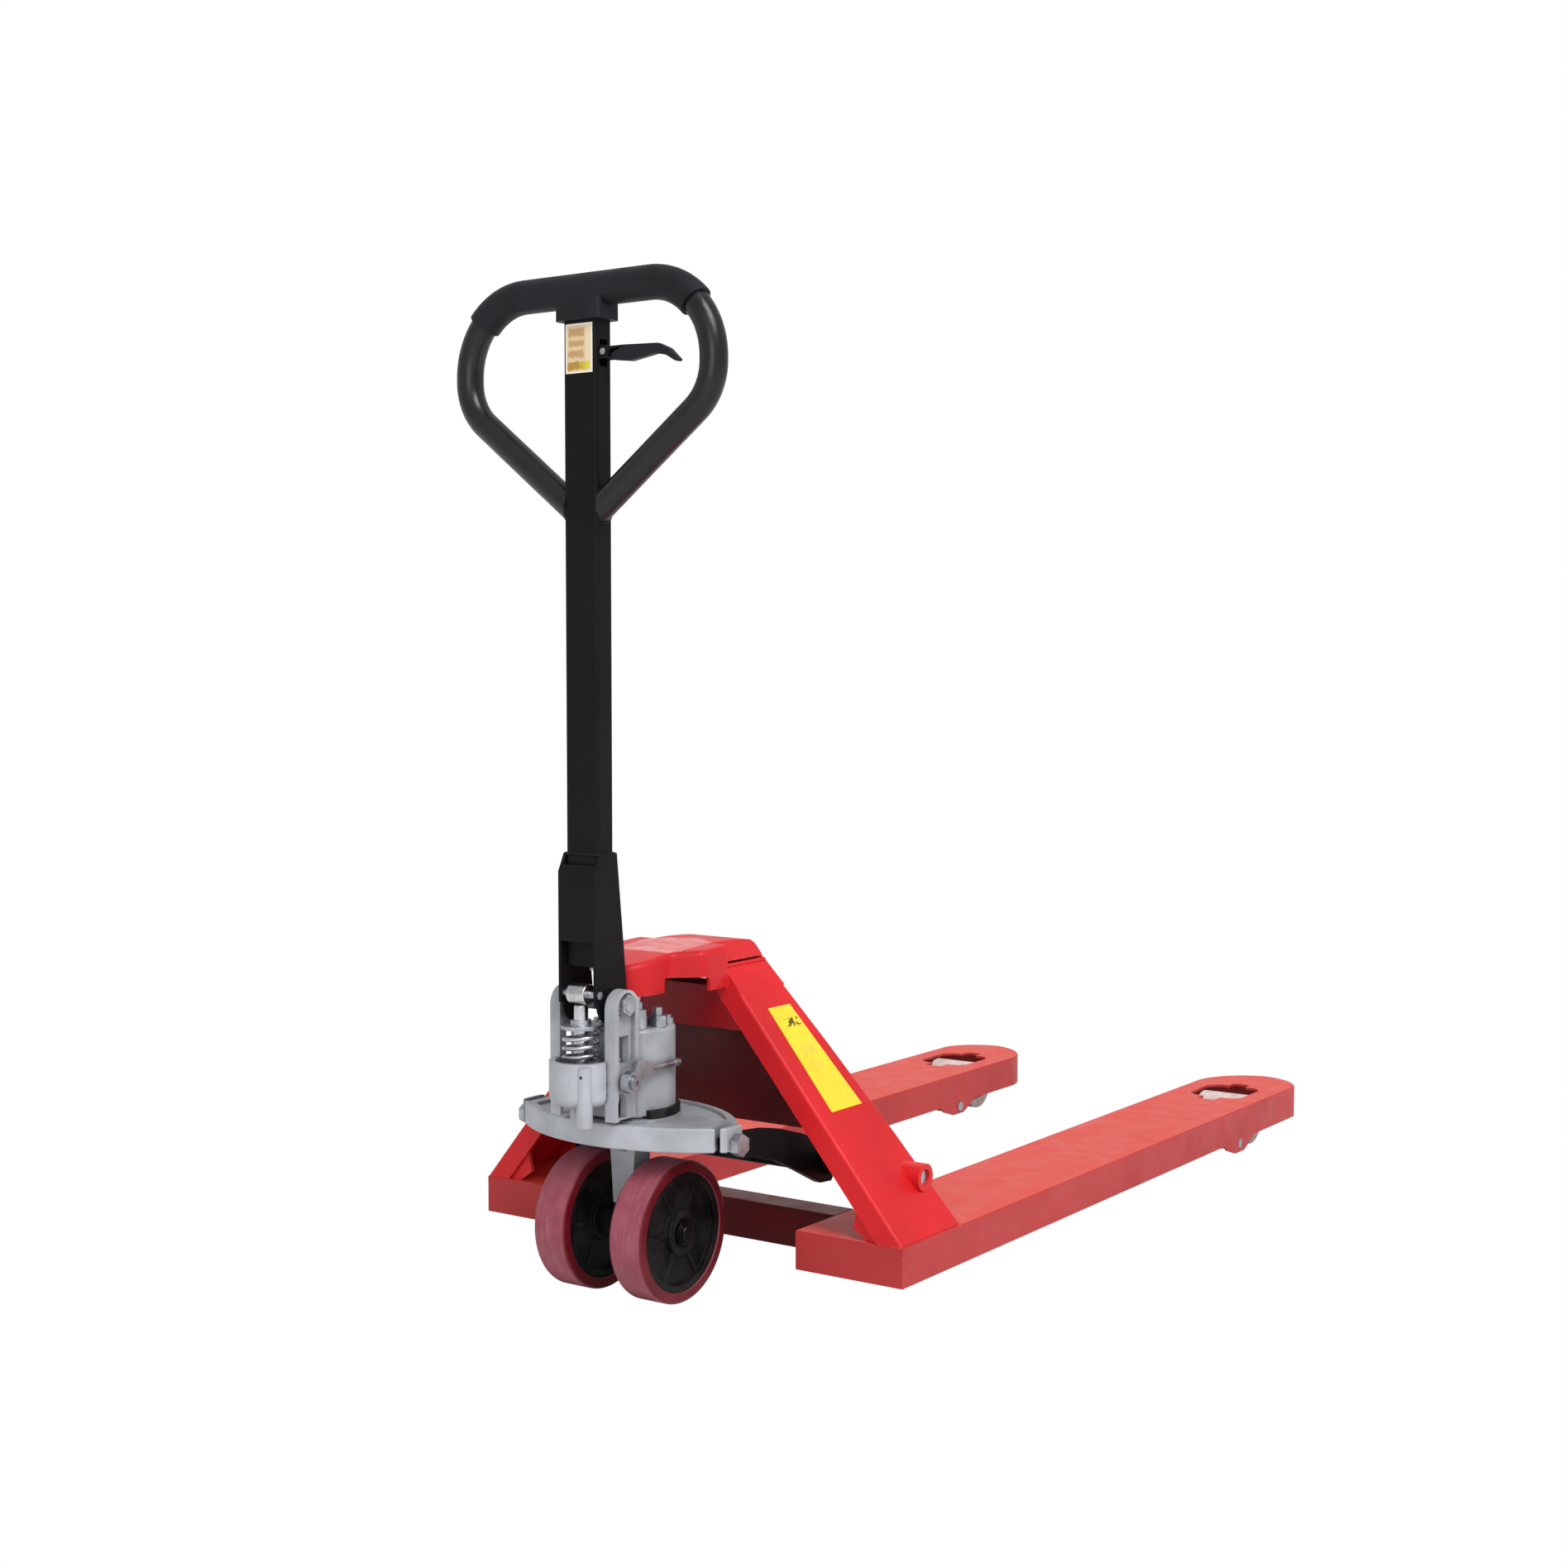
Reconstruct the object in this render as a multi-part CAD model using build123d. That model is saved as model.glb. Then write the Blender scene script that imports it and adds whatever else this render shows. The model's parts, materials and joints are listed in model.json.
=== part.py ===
from build123d import *
import math
import os

# Hand pallet jack, forks lowered, handle upright, wheels straight ahead.
# Millimetres. X is across the jack, +Y points to the fork tips and +Z is up.
# While it is being modelled Y = 0 is the steering axis; save() then moves every piece so that the
# origin is the middle of the jack's footprint on the floor.

# ---- driving dimensions ---------------------------------------------------------------------
OVERALL_WIDTH = 685.0
FORK_WIDTH = 160.0
FORK_TOP = 85.0
FORK_BOTTOM = 34.0
FORK_SHEET = 4.0
FOOT_STEP = 0.5
FOOT_FRONT_Y = 256.0
FORK_REAR_Y = 107.0
FORK_TIP_Y = 1430.0
LIFT = 115.0

STEER_WHEEL_R = 90.0
STEER_WHEEL_WIDTH = 50.0
STEER_WHEEL_INNER_X = 36.0
LOAD_ROLLER_R = 40.0
LOAD_ROLLER_LENGTH = 90.0

REAR_MOST_Y = -138.0
MIDDLE_Y = (REAR_MOST_Y + FORK_TIP_Y) / 2
RUNNING = 0.05
GAP = 0.4

# ---- derived positions ----------------------------------------------------------------------
FORK_X = (OVERALL_WIDTH - FORK_WIDTH) / 2
FORK_INNER_X = FORK_X - FORK_WIDTH / 2
FORK_OUTER_X = FORK_X + FORK_WIDTH / 2
FORK_ROOF = FORK_TOP - FORK_SHEET
FOOT_TOP_Z = FORK_TOP - FOOT_STEP

# rocker: turns on the chassis, its arms reach back to the bearing plate's pins
PIVOT_Y = 220.0
PIVOT_Z = 147.0
PIN_Z = 212.0
PLATE_PIN_R = 9.0
ROCKER_REACH = math.hypot(PIVOT_Y, PIN_Z - PIVOT_Z)
ROCKER_START = math.asin((PIN_Z - PIVOT_Z) / ROCKER_REACH)
ROCKER_END = math.asin((PIN_Z - LIFT - PIVOT_Z) / ROCKER_REACH)
ROCKER_SWING = ROCKER_START - ROCKER_END
ARM_X = 153.0
ARM_THICK = 10.0

# push rods: pushed forward by the rocker's lugs, they swing the load forks down
ROD_TRAVEL = 40.0
LUG_LENGTH = ROD_TRAVEL / (2 * math.sin(ROCKER_SWING / 2))
LUG_EYE_Y = PIVOT_Y - ROD_TRAVEL / 2
LUG_EYE_Z = PIVOT_Z - LUG_LENGTH * math.cos(ROCKER_SWING / 2)
ROD_X = 248.0
ROD_R = 8.0
ROD_Z = 68.0
ROD_PIN_R = 5.0

# load forks: hinged on an axle through the tabs under each fork
AXLE_Y = 1145.0
AXLE_Z = 28.0
AXLE_R = 8.0
ROLLER_ARM = 130.0
ROLLER_ANGLE = math.asin((LOAD_ROLLER_R - AXLE_Z) / ROLLER_ARM)
ROLLER_ANGLE_DOWN = math.asin((LOAD_ROLLER_R - AXLE_Z - LIFT) / ROLLER_ARM)
LOAD_SWING = ROLLER_ANGLE - ROLLER_ANGLE_DOWN
ROLLER_Y = AXLE_Y + ROLLER_ARM * math.cos(ROLLER_ANGLE)
ROLLER_Z = LOAD_ROLLER_R
CRANK = ROD_TRAVEL / (2 * math.sin(LOAD_SWING / 2))
CRANK_Y = AXLE_Y - ROD_TRAVEL / 2
CRANK_Z = AXLE_Z + CRANK * math.cos(LOAD_SWING / 2)
ROLLER_AXLE_R = 10.0

# legs: folded channels that slope from the hood out to the forks
LEG_FOOT = (FORK_OUTER_X, FORK_TOP)
LEG_HEAD = (62.0, 422.0)
LEG_LENGTH = math.hypot(LEG_HEAD[0] - LEG_FOOT[0], LEG_HEAD[1] - LEG_FOOT[1])
LEG_UP = ((LEG_HEAD[0] - LEG_FOOT[0]) / LEG_LENGTH, (LEG_HEAD[1] - LEG_FOOT[1]) / LEG_LENGTH)
LEG_OUT = (LEG_UP[1], -LEG_UP[0])
LEG_SHEET = 5.0
LEG_TOP_Z = 412.0
LEG_DEPTH = 30.0

# pump and handle
PLATE_TOP = 235.0
PLATE_BOTTOM = 204.0
PUMP_R = 58.0
PUMP_BASE = 239.0
PUMP_TOP = 348.0
PLUNGER_Y = -96.0
CUP_R = 40.0
CUP_BORE_R = 32.5
CUP_BASE = 260.0
STEM_END_Z = 118.0
CUP_TOP = 315.0
CUP_FLOOR = 286.0
SPRING_TOP = 354.0
HANDLE_PIVOT_Y = -70.0
HANDLE_PIVOT_Z = 384.0
CAM_Y = -96.0
CAM_Z = 397.0
CAM_R = 13.0
RAM_R = 17.0
HOOD_BOTTOM = 387.0
HOOD_TOP = 442.0
CROWN_R = 760.0
CROWN_Y = 118.0
SHAFT_Y = -77.5
SHAFT_HALF_X = 26.0
SHAFT_HALF_Y = 15.5
SHAFT_FOOT_Z = 430.0
SHAFT_HEAD_Z = 1238.0
LOOP_Y = -78.0
LOOP_TUBE_R = 17.0
LEVER_PIVOT_X = 34.0
LEVER_PIVOT_Z = 1182.0
RELEASE_Y = -76.0
RELEASE_Z = 290.0


# ---- helpers --------------------------------------------------------------------------------
def save(name, shape):
    export_step(Pos(0, -MIDDLE_Y, 0) * shape, f"parts/{name}.step")


def bar_x(radius, x0, x1, y, z):
    """Round bar along X."""
    return Pos((x0 + x1) / 2, y, z) * Rot(0, 90, 0) * Cylinder(radius, abs(x1 - x0))


def bar_y(radius, x, y0, y1, z):
    """Round bar along Y."""
    return Pos(x, (y0 + y1) / 2, z) * Rot(90, 0, 0) * Cylinder(radius, abs(y1 - y0))


def bar_z(radius, x, y, z0, z1):
    """Round bar along Z."""
    return Pos(x, y, (z0 + z1) / 2) * Cylinder(radius, z1 - z0)


def block(x0, x1, y0, y1, z0, z1):
    """Box from its six faces."""
    return Pos((x0 + x1) / 2, (y0 + y1) / 2, (z0 + z1) / 2) * Box(abs(x1 - x0), abs(y1 - y0), abs(z1 - z0))


def hexagon_x(across_flats, x0, x1, y, z):
    """Hexagonal head or nut along X."""
    outline = RegularPolygon(across_flats / 2, 6, major_radius=False)
    return extrude(Pos(x0, y, z) * Rot(0, 90, 0) * outline, x1 - x0)


def hexagon_z(across_flats, x, y, z0, z1):
    """Hexagonal head along Z."""
    return extrude(Pos(x, y, z0) * RegularPolygon(across_flats / 2, 6, major_radius=False), z1 - z0)


def plate_x(points, x0, x1):
    """Plate with a (y, z) outline, from x0 to x1."""
    face = make_face(Polyline(*[(0, y, z) for y, z in points], close=True))
    return Pos(x0, 0, 0) * extrude(face, x1 - x0, dir=(1, 0, 0))


def plate_y(points, y0, y1):
    """Plate with an (x, z) outline, from y0 to y1."""
    face = make_face(Polyline(*[(x, 0, z) for x, z in points], close=True))
    return Pos(0, y0, 0) * extrude(face, y1 - y0, dir=(0, 1, 0))


def rounded(shape, axis, radius):
    """Fillet the straight edges that run along an axis."""
    return fillet(shape.edges().filter_by(axis), radius)


def group_both_sides(right):
    """The right-hand piece and its mirror image as one group of separate solids."""
    return Compound([right, mirror(right, about=Plane.YZ)])


def both_sides(right):
    """The right-hand piece and its mirror image on the left."""
    return {"right": right, "left": mirror(right, about=Plane.YZ)}


# ---- forks and chassis ----------------------------------------------------------------------
def fork_outline(inset):
    """Plan of the right fork, pulled in by the sheet thickness where it is the hollow inside."""
    inner = FORK_INNER_X + inset
    outer = FORK_OUTER_X - inset
    rear = FORK_REAR_Y + inset
    nose = (FORK_X + 2, FORK_TIP_Y - inset)
    line = Polyline((inner, FORK_TIP_Y - 113), (inner, rear), (outer, rear), (outer, FORK_TIP_Y - 62))
    outer_arc = ThreePointArc((outer, FORK_TIP_Y - 62), (outer - 27, FORK_TIP_Y - 20 - inset), nose)
    inner_arc = ThreePointArc(nose, (inner + 27, FORK_TIP_Y - 32 - inset), (inner, FORK_TIP_Y - 113))
    return make_face(line + outer_arc + inner_arc)


def fork_tab(x):
    """Tab under a fork wall that carries the load fork's axle."""
    outline = [(AXLE_Y - 66, FORK_BOTTOM + 4), (AXLE_Y - 52, 25), (AXLE_Y - 20, 15), (AXLE_Y + 14, 15)]
    outline += [(AXLE_Y + 34, 24), (AXLE_Y + 66, FORK_BOTTOM + 4)]
    return plate_x(outline, x, x + FORK_SHEET)


def fork_right():
    shell = extrude(Pos(0, 0, FORK_BOTTOM) * fork_outline(0), FORK_TOP - FORK_BOTTOM)
    shell = fillet(shell.edges().group_by(Axis.Z)[-1], 2.5)
    shell -= extrude(Pos(0, 0, FORK_BOTTOM - 1) * fork_outline(FORK_SHEET), FORK_ROOF - FORK_BOTTOM + 1)
    # the roof steps down a little where the leg stands on it
    shell -= block(FORK_INNER_X - 1, FORK_OUTER_X + 1, 0, FOOT_FRONT_Y, FOOT_TOP_Z, FORK_TOP + 1)
    shell += fork_tab(FORK_INNER_X)
    shell += fork_tab(FORK_OUTER_X - FORK_SHEET)
    # window over the load roller: a wide middle with a narrow slot at each end
    window = Pos(FORK_X, ROLLER_Y - 12, FORK_TOP) * extrude(RectangleRounded(92, 104, 24), 10, both=True)
    window += Pos(FORK_X, ROLLER_Y - 14, FORK_TOP) * extrude(RectangleRounded(30, 150, 5), 10, both=True)
    shell -= window
    # opening under the leg for the rocker's lug, and the axle's holes through the tabs
    shell -= block(ROD_X - 18, ROD_X + 18, PIVOT_Y - 50, PIVOT_Y + 48, FORK_ROOF - 2, FORK_TOP + 2)
    shell -= bar_x(AXLE_R, FORK_INNER_X - 5, FORK_OUTER_X + 5, AXLE_Y, AXLE_Z)
    return shell


def leg_plane(depth, along=0.0):
    """Plane of the right leg's outer face, moved inward by depth; its x is Y and its y runs up the leg."""
    x = LEG_FOOT[0] - LEG_OUT[0] * depth + LEG_UP[0] * along
    z = LEG_FOOT[1] - LEG_OUT[1] * depth + LEG_UP[1] * along
    return Plane(origin=(x, 0, z), x_dir=(0, 1, 0), z_dir=(LEG_OUT[0], 0, LEG_OUT[1]))


def leg_outline(trim, extend):
    """Leg plan in its own plane: wide at the foot, narrow at the hood, with a curved forward edge."""
    rear = FORK_REAR_Y + trim
    points = [(250 - trim, -extend), (239 - trim, 140), (220 - trim, 293), (198 - trim, LEG_LENGTH + extend)]
    sides = Polyline(points[-1], (rear, LEG_LENGTH + extend), (rear, -extend), points[0])
    return make_face(sides + Polyline(*points))


def leg_skin_right():
    """Folded leg with its foot gusset and the short boss that holds the rocker's pivot pin."""
    outer = leg_plane(0)
    skin = extrude(outer * leg_outline(0, 0), -LEG_DEPTH)
    folds = [e for e in skin.edges() if e.length > 100 and abs((e.center() - outer.origin).dot(outer.z_dir)) < 0.1]
    skin = fillet(folds, 5)
    skin -= extrude(leg_plane(LEG_SHEET) * leg_outline(LEG_SHEET, 20), -LEG_DEPTH)
    skin -= block(0, OVERALL_WIDTH, 0, 400, -50, FOOT_TOP_Z)
    skin -= hood_envelope()
    # the outer sheet runs on up beside the hood's skirt
    skin += extrude(outer * leg_outline(0, 0), -LEG_SHEET) & block(0, OVERALL_WIDTH, 0, 400, 380, LEG_TOP_Z)
    skin += bar_x(18, 263, 307, PIVOT_Y, PIVOT_Z)
    skin += leg_gusset_right() - extrude(outer * leg_outline(-50, 20), 60)
    return skin - bar_x(11, 250, 320, PIVOT_Y, PIVOT_Z)


def rocker_pins():
    return group_both_sides(bar_x(11, 236, 303, PIVOT_Y, PIVOT_Z))


def leg_gusset_right():
    """Rounded gusset that stiffens the leg's foot on the fork."""
    outline = [(286, FOOT_TOP_Z), (325, FOOT_TOP_Z), (290, FORK_TOP + 44), (272, FORK_TOP + 40), (266, FORK_TOP + 14)]
    return plate_y(outline, FORK_REAR_Y + 5, FORK_REAR_Y + 11)


def cross_beam():
    beam = block(-FORK_INNER_X, FORK_INNER_X, 194, 244, FORK_BOTTOM, FORK_TOP)
    beam = fillet(beam.edges().filter_by(Axis.X).group_by(Axis.Z)[-1], 5)
    return beam - block(-FORK_INNER_X, FORK_INNER_X, 199, 239, FORK_BOTTOM - 1, FORK_TOP - 5)


def wall_half_width(z):
    """Half the clear width between the two leg skins at a height."""
    slope = (LEG_FOOT[0] - LEG_HEAD[0]) / (LEG_HEAD[1] - LEG_FOOT[1])
    return LEG_FOOT[0] - (z - LEG_FOOT[1]) * slope - LEG_SHEET / LEG_OUT[0]


def backrest_plate():
    """Wall between the legs, behind the pump, that a load comes to rest against."""
    low = 206.0
    wide = wall_half_width(low)
    narrow = wall_half_width(HOOD_BOTTOM)
    outline = [(-wide, low), (wide, low), (narrow, HOOD_BOTTOM), (-narrow, HOOD_BOTTOM)]
    return plate_y(outline, 150, 155)


def neck_plate():
    """Short plate under the hood that ties the two legs together in front of the backrest."""
    low = 332.0
    inset = (LEG_DEPTH - LEG_SHEET) / LEG_OUT[0]
    wide = wall_half_width(low) - inset
    narrow = wall_half_width(HOOD_BOTTOM) - inset
    outline = [(-wide, low), (wide, low), (narrow, HOOD_BOTTOM), (-narrow, HOOD_BOTTOM)]
    return plate_y(outline, FORK_REAR_Y, FORK_REAR_Y + 5)


def hood_plan(inset):
    """Plan of the hood: a round nose over the ram, shoulders that the handle clears, then the full width."""
    nose = 41.0 - inset
    side = 76.0 - inset
    rear = 200.0 - inset
    front = ThreePointArc((-nose, 0), (0, -nose), (nose, 0))
    right = Polyline((nose, 0), (nose, 34 + inset), (side, 58 + inset), (side, rear))
    left = Polyline((-side, rear), (-side, 58 + inset), (-nose, 34 + inset), (-nose, 0))
    return make_face(front + right + Line((side, rear), (-side, rear)) + left)


def hood_envelope():
    """The hood's outer form: crowned along its length, its rear flanks cut to the legs' slope."""
    solid = extrude(Pos(0, 0, HOOD_BOTTOM) * hood_plan(0), HOOD_TOP - HOOD_BOTTOM)
    solid = fillet(solid.edges().filter_by(Axis.Z).filter_by(lambda e: e.center().Y > 20), 16)
    solid &= bar_x(CROWN_R, -200, 200, CROWN_Y, HOOD_TOP - CROWN_R)
    solid = fillet(solid.edges().filter_by(lambda e: e.center().Z > 412 and abs(e.center().X) > 1), 9)
    flank = extrude(leg_plane(0) * Rectangle(1500, 1500), 300) & block(0, 600, FORK_REAR_Y, 400, 0, 700)
    return solid - flank - mirror(flank, about=Plane.YZ)


def hood():
    shell = hood_envelope()
    shell -= extrude(Pos(0, 0, HOOD_BOTTOM - 1) * hood_plan(5), 32)
    shell -= bar_z(26, 0, 0, 417, HOOD_BOTTOM + 38)
    leg_room = extrude(leg_plane(-1) * leg_outline(-20, 40), -LEG_SHEET - 1)
    leg_room &= block(0, 600, FORK_REAR_Y, 400, 0, LEG_TOP_Z)
    shell -= leg_room
    shell -= mirror(leg_room, about=Plane.YZ)
    # arch in the skirt that the handle's ears pass under when the jack is steered
    arch = block(-200, 200, -5, 62, HOOD_BOTTOM - 1, 405) + block(-200, 200, -5, 69, HOOD_BOTTOM - 1, 398)
    arch += bar_x(7, -200, 200, 62, 398)
    return shell - (arch - bar_z(45, 0, 0, 300, 500))


def ram_socket():
    return bar_z(26, 0, 0, 418, HOOD_BOTTOM + 38)


def load_axles():
    right = bar_x(AXLE_R, FORK_INNER_X - 2.5, FORK_OUTER_X - 0.5, AXLE_Y, AXLE_Z)
    return group_both_sides(right)


def leg_label():
    """Sticker on the right leg's outer face."""
    outline = make_face(Polyline((137, 195), (207, 195), (190, 355), (141, 355), close=True))
    return extrude(leg_plane(0) * outline, 0.6)


# ---- rocker, push rods and load wheels ------------------------------------------------------
def arm_outline():
    """Rocker arm, deep at its hub and slim where it reaches the bearing plate."""
    top = [(-13, PIN_Z + 8), (10, 226), (30, 222), (75, 218), (111, 211), (158, 197), (200, 181), (232, 166)]
    bottom = [(242, 140), (226, 122), (200, 124), (148, 150), (102, 171), (56, 185), (12, 191), (-13, PIN_Z - 8)]
    return top + bottom


def rocker_frame():
    """Cross tube with an arm to each end of the bearing plate and a lug down to each push rod."""
    frame = bar_x(15, -262, 262, PIVOT_Y, PIVOT_Z)
    arm = plate_x(arm_outline(), ARM_X - ARM_THICK / 2, ARM_X + ARM_THICK / 2)
    slot_turn = math.degrees(ROCKER_START)
    slot = extrude(SlotCenterToCenter(13, 2 * (PLATE_PIN_R + 1.0)), ARM_THICK, both=True)
    slot = Pos(ARM_X, 4.5, PIN_Z - 1.5) * Rot(-slot_turn, 0, 0) * Rot(0, 90, 0) * Rot(0, 0, 90) * slot
    arm -= slot
    lug = plate_x([(205, 150), (235, 150), (LUG_EYE_Y + 11, LUG_EYE_Z), (LUG_EYE_Y - 11, LUG_EYE_Z)], 6, 12)
    lug += bar_x(11, 6, 12, LUG_EYE_Y, LUG_EYE_Z)
    lug -= bar_x(ROD_PIN_R, 0, 20, LUG_EYE_Y, LUG_EYE_Z)
    lugs = Pos(ROD_X, 0, 0) * lug + Pos(ROD_X, 0, 0) * mirror(lug, about=Plane.YZ)
    right = arm + lugs
    frame = frame + right + mirror(right, about=Plane.YZ)
    for x in (-300, 200):
        frame -= bar_x(11 + RUNNING, x, x + 100, PIVOT_Y, PIVOT_Z)
    return frame


def rod_pins():
    right = bar_x(ROD_PIN_R, ROD_X - 14, ROD_X + 14, LUG_EYE_Y, LUG_EYE_Z)
    return group_both_sides(right)


def rod_eye(y, z, rise, towards):
    """Flat rod end with an upright slot, because its pin swings on an arc while the rod slides."""
    eye = Pos(ROD_X, y, z) * extrude(Plane.YZ * RectangleRounded(24, 23.0, 6), 5, both=True)
    eye += block(ROD_X - 5, ROD_X + 5, y, y + 24 * towards, ROD_Z - ROD_R, ROD_Z + ROD_R)
    slot = SlotCenterToCenter(rise, 2 * (ROD_PIN_R + 0.45), rotation=90)
    return eye - Pos(ROD_X, y, z) * extrude(Plane.YZ * slot, 20, both=True)


def push_rod_right():
    front_z = AXLE_Z + CRANK * (1 + math.cos(LOAD_SWING / 2)) / 2
    rear_z = PIVOT_Z - LUG_LENGTH * (1 + math.cos(ROCKER_SWING / 2)) / 2
    rod = bar_y(ROD_R, ROD_X, LUG_EYE_Y + 20, CRANK_Y - 20, ROD_Z)
    rod += rod_eye(LUG_EYE_Y, rear_z, 3.2, 1)
    return rod + rod_eye(CRANK_Y, front_z, CRANK * (1 - math.cos(LOAD_SWING / 2)) + 0.8, -1)


def load_fork_right():
    """Bracket that carries the load roller; a sleeve on the axle, two side plates and a crank lug."""
    half = LOAD_ROLLER_LENGTH / 2 + 3
    side = [(AXLE_Y - 12, AXLE_Z - 6), (AXLE_Y + 4, AXLE_Z - 13), (ROLLER_Y + 6, ROLLER_Z - 17)]
    side += [(ROLLER_Y + 18, ROLLER_Z), (ROLLER_Y + 6, ROLLER_Z + 17), (AXLE_Y + 4, AXLE_Z + 14)]
    side += [(AXLE_Y - 12, AXLE_Z + 8)]
    fork = Part()
    for x in (FORK_X - half - 5, FORK_X + half):
        fork += plate_x(side, x, x + 5)
    fork += bar_x(13, FORK_X - half, FORK_X + half, AXLE_Y, AXLE_Z)
    web = [(AXLE_Y + 6, AXLE_Z + 3), (AXLE_Y + 6, AXLE_Z + 12), (AXLE_Y + 78, AXLE_Z + 19)]
    web += [(AXLE_Y + 80, AXLE_Z + 11)]
    fork += plate_x(web, FORK_X - half, FORK_X + half)
    lug = [(AXLE_Y - 13, AXLE_Z), (AXLE_Y + 13, AXLE_Z), (CRANK_Y + 9, CRANK_Z), (CRANK_Y - 9, CRANK_Z)]
    for x in (ROD_X - 12, ROD_X + 6):
        fork += plate_x(lug, x, x + 6) + bar_x(9, x, x + 6, CRANK_Y, CRANK_Z)
    fork -= bar_x(AXLE_R + RUNNING, FORK_X - 80, FORK_X + 80, AXLE_Y, AXLE_Z)
    fork -= bar_x(ROD_PIN_R, ROD_X - 20, ROD_X + 20, CRANK_Y, CRANK_Z)
    return fork - bar_x(ROLLER_AXLE_R, FORK_X - 80, FORK_X + 80, ROLLER_Y, ROLLER_Z)


def load_fork_pins_right():
    """Roller axle and the crank pin that the push rod works on."""
    half = LOAD_ROLLER_LENGTH / 2 + 10
    roller_axle = bar_x(ROLLER_AXLE_R, FORK_X - half, FORK_X + half, ROLLER_Y, ROLLER_Z)
    crank_pin = bar_x(ROD_PIN_R, ROD_X - 13, ROD_X + 13, CRANK_Y, CRANK_Z)
    return Compound([roller_axle, crank_pin])


def load_roller_right():
    half = LOAD_ROLLER_LENGTH / 2
    roller = bar_x(LOAD_ROLLER_R, FORK_X - half, FORK_X + half, ROLLER_Y, ROLLER_Z)
    roller = fillet(roller.edges(), 3)
    return roller - bar_x(20, FORK_X - 80, FORK_X + 80, ROLLER_Y, ROLLER_Z)


def ring_x(outer, inner, x0, x1, y, z):
    return bar_x(outer, x0, x1, y, z) - bar_x(inner, x0 - 1, x1 + 1, y, z)


def load_bearings_right():
    half = LOAD_ROLLER_LENGTH / 2
    bore = ROLLER_AXLE_R + RUNNING
    inner = ring_x(20, bore, FORK_X - half, FORK_X - half + 14, ROLLER_Y, ROLLER_Z)
    outer = ring_x(20, bore, FORK_X + half - 14, FORK_X + half, ROLLER_Y, ROLLER_Z)
    return Compound([inner, outer])


# ---- bearing plate, pump and steering wheels ------------------------------------------------
PLATE_END_X = 166.0
CHEEK_X = 159.5
SLOT_X = 146.5


def plate_outline(inset):
    end = PLATE_END_X - inset
    front = ThreePointArc((-end, -17 + inset), (0, -82 + inset), (end, -17 + inset))
    rear = ThreePointArc((end - 14, 24 - inset), (0, 98 - inset), (14 - end, 24 - inset))
    right = Polyline((end, -17 + inset), (end, 14 - inset), (end - 14, 24 - inset))
    left = Polyline((14 - end, 24 - inset), (-end, 14 - inset), (-end, -17 + inset))
    return make_face(front + right + rear + left)


def bearing_plate():
    """Cast plate that the pump turns on; a slot at each end takes a rocker arm."""
    plate = extrude(Pos(0, 0, PLATE_BOTTOM) * plate_outline(0), PLATE_TOP - PLATE_BOTTOM)
    plate = fillet(plate.edges().group_by(Axis.Z)[-1] + plate.edges().group_by(Axis.Z)[0], 3)
    sunk = extrude(Pos(0, 0, PLATE_TOP - 4) * plate_outline(9), 10) - bar_z(66, 0, 0, 200, 260)
    plate -= sunk - block(SLOT_X - 14, 200, -60, 60, 0, 300) - block(-200, 14 - SLOT_X, -60, 60, 0, 300)
    plate -= bar_z(28, 0, 0, 190, 250)
    slot = block(SLOT_X, CHEEK_X, -27, 120, 190, 250)
    pin_hole = bar_x(PLATE_PIN_R, 128, 190, 0, PIN_Z)
    right = slot + pin_hole
    return plate - right - mirror(right, about=Plane.YZ)


def plate_pins():
    right = bar_x(PLATE_PIN_R, 128, PLATE_END_X, 0, PIN_Z)
    right += hexagon_x(25, PLATE_END_X, PLATE_END_X + 12, 0, PIN_Z)
    return group_both_sides(right)


def thrust_bearing():
    return bar_z(50, 0, 0, PLATE_TOP, PUMP_BASE - 0.3) - bar_z(30, 0, 0, 200, 300)


def ear_room():
    right = block(36, 60, -96, -44, PUMP_BASE + 1, 420)
    return right + mirror(right, about=Plane.YZ)


def pump_casting():
    """Reservoir and cylinder, spring cup on the operator's side, and the stem that hangs below the plate."""
    body = bar_z(PUMP_R, 0, 0, PUMP_BASE, PUMP_TOP)
    body = fillet(body.edges().group_by(Axis.Z)[-1], 6)
    cup = bar_z(CUP_R, 0, PLUNGER_Y, CUP_BASE, CUP_TOP)
    cup = fillet(cup.edges().group_by(Axis.Z)[0], 12)
    body += cup + block(-34, 34, PLUNGER_Y + 6, -30, CUP_BASE, CUP_TOP)
    body += block(-30, 30, -66, -30, PUMP_BASE, CUP_BASE)
    # valve boss on the cup's side, with its drilled hole
    body += bar_z(10, 25, PLUNGER_Y - 24, PUMP_BASE - 2, CUP_TOP - 4)
    body -= bar_y(2.2, 27, PLUNGER_Y - 40, PLUNGER_Y - 28, CUP_TOP - 15)
    body += bar_z(27.5, 0, 0, 190, PUMP_BASE)
    body += plate_y([(-20, 190), (-20, 203), (20, 203), (20, 190), (15, STEM_END_Z), (-15, STEM_END_Z)], -16, 16)
    body -= ear_room()
    body -= bar_z(CUP_BORE_R, 0, PLUNGER_Y, CUP_FLOOR, CUP_TOP + 5) - bar_z(15, 0, PLUNGER_Y, CUP_FLOOR, CUP_TOP - 4)
    # closed end of the cylinder, long enough for the plunger's whole stroke
    body += bar_z(14, 0, PLUNGER_Y, 240, CUP_BASE + 2)
    body -= bar_z(9 + RUNNING, 0, PLUNGER_Y, 244, CUP_TOP + 5)
    return body - bar_z(RAM_R + RUNNING, 0, 0, 186, PUMP_TOP + 5)


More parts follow.
